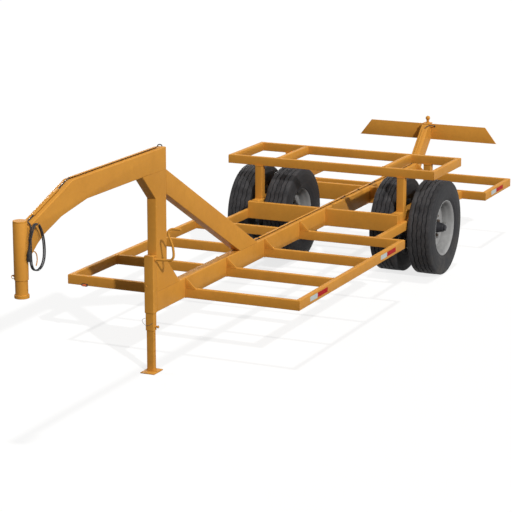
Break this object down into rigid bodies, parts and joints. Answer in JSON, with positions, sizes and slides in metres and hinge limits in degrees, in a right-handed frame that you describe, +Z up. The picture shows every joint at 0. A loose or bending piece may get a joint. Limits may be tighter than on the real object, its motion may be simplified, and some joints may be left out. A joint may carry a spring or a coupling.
{
  "type": "gooseneck bale trailer",
  "caption": "Open tube-frame gooseneck trailer for round bales, with a central spine, low deck, raised rack over paired truck wheels, drop-leg jack and rear hitch ball.",
  "frame": {"origin": "centre of the bounding box on the ground", "axes": "+Z up, the coupler and front to -Y, the trailer left side to +X"},
  "size_m": [2.5908, 10.308, 2.217],
  "materials": {
    "frame_paint": "satin ochre yellow paint over welded steel tube",
    "wheel_paint": "satin silver-grey wheel paint",
    "axle_paint": "satin black chassis paint",
    "tyre_rubber": "matt black rubber",
    "lead_rubber": "matt black cable sheath"
  },
  "bodies": {
    "chassis": {"axle_left": "axle_paint", "axle_right": "axle_paint", "bay_beam_left_front": "frame_paint", "bay_beam_left_rear": "frame_paint", "bay_beam_right_front": "frame_paint", "bay_beam_right_rear": "frame_paint", "bay_long_rail_left": "frame_paint", "bay_long_rail_right": "frame_paint", "bay_side_member_left": "frame_paint", "bay_side_member_right": "frame_paint", "brace": "frame_paint", "coupler_tube": "frame_paint", "deck_outrigger_left_1": "frame_paint", "deck_outrigger_left_2": "frame_paint", "deck_outrigger_left_3": "frame_paint", "deck_outrigger_left_4": "frame_paint", "deck_outrigger_right_1": "frame_paint", "deck_outrigger_right_2": "frame_paint", "deck_outrigger_right_3": "frame_paint", "deck_outrigger_right_4": "frame_paint", "deck_side_rail_left": "frame_paint", "deck_side_rail_right": "frame_paint", "hitch_ball": "frame_paint", "jack_housing": "frame_paint", "lead_hank": "lead_rubber", "lead_plug": "lead_rubber", "lead_run": "lead_rubber", "mast": "frame_paint", "neck": "frame_paint", "rack_bar_left": "frame_paint", "rack_bar_right": "frame_paint", "rack_end_left": "frame_paint", "rack_end_right": "frame_paint", "rack_post_left_front": "frame_paint", "rack_post_left_rear": "frame_paint", "rack_post_right_front": "frame_paint", "rack_post_right_rear": "frame_paint", "rack_tube_front": "frame_paint", "rack_tube_rear": "frame_paint", "spine": "frame_paint", "tail_outrigger_left_front": "frame_paint", "tail_outrigger_left_rear": "frame_paint", "tail_outrigger_right_front": "frame_paint", "tail_outrigger_right_rear": "frame_paint", "tail_plate": "frame_paint", "tail_side_rail_left": "frame_paint", "tail_side_rail_right": "frame_paint", "upright": "frame_paint", "wire_conduit": "frame_paint"},
    "wheel_left_outer": {"tyre_left_outer": "tyre_rubber", "wheel_left_outer": "wheel_paint"},
    "wheel_left_inner": {"tyre_left_inner": "tyre_rubber", "wheel_left_inner": "wheel_paint"},
    "wheel_right_outer": {"tyre_right_outer": "tyre_rubber", "wheel_right_outer": "wheel_paint"},
    "wheel_right_inner": {"tyre_right_inner": "tyre_rubber", "wheel_right_inner": "wheel_paint"},
    "jack_leg": {"jack_leg": "frame_paint"},
    "coupler_ball_tube": {"coupler_ball_tube": "frame_paint"}
  },
  "joints": [
    {"name": "spin_left_outer", "type": "hinge", "parent": "chassis", "child": "wheel_left_outer", "pos_m": [1.14925, 2.232, 0.551], "axis": [1, 0, 0], "continuous": true},
    {"name": "spin_left_inner", "type": "hinge", "parent": "chassis", "child": "wheel_left_inner", "pos_m": [0.67625, 2.232, 0.551], "axis": [1, 0, 0], "continuous": true},
    {"name": "spin_right_outer", "type": "hinge", "parent": "chassis", "child": "wheel_right_outer", "pos_m": [-1.14925, 2.232, 0.551], "axis": [1, 0, 0], "continuous": true},
    {"name": "spin_right_inner", "type": "hinge", "parent": "chassis", "child": "wheel_right_inner", "pos_m": [-0.67625, 2.232, 0.551], "axis": [1, 0, 0], "continuous": true},
    {"name": "jack_drop", "type": "slide", "parent": "chassis", "child": "jack_leg", "axis": [0, 0, 1], "range_m": [-0.15, 0.38]},
    {"name": "coupler_height", "type": "slide", "parent": "chassis", "child": "coupler_ball_tube", "axis": [0, 0, 1], "range_m": [-0.14, 0.12]}
  ]
}
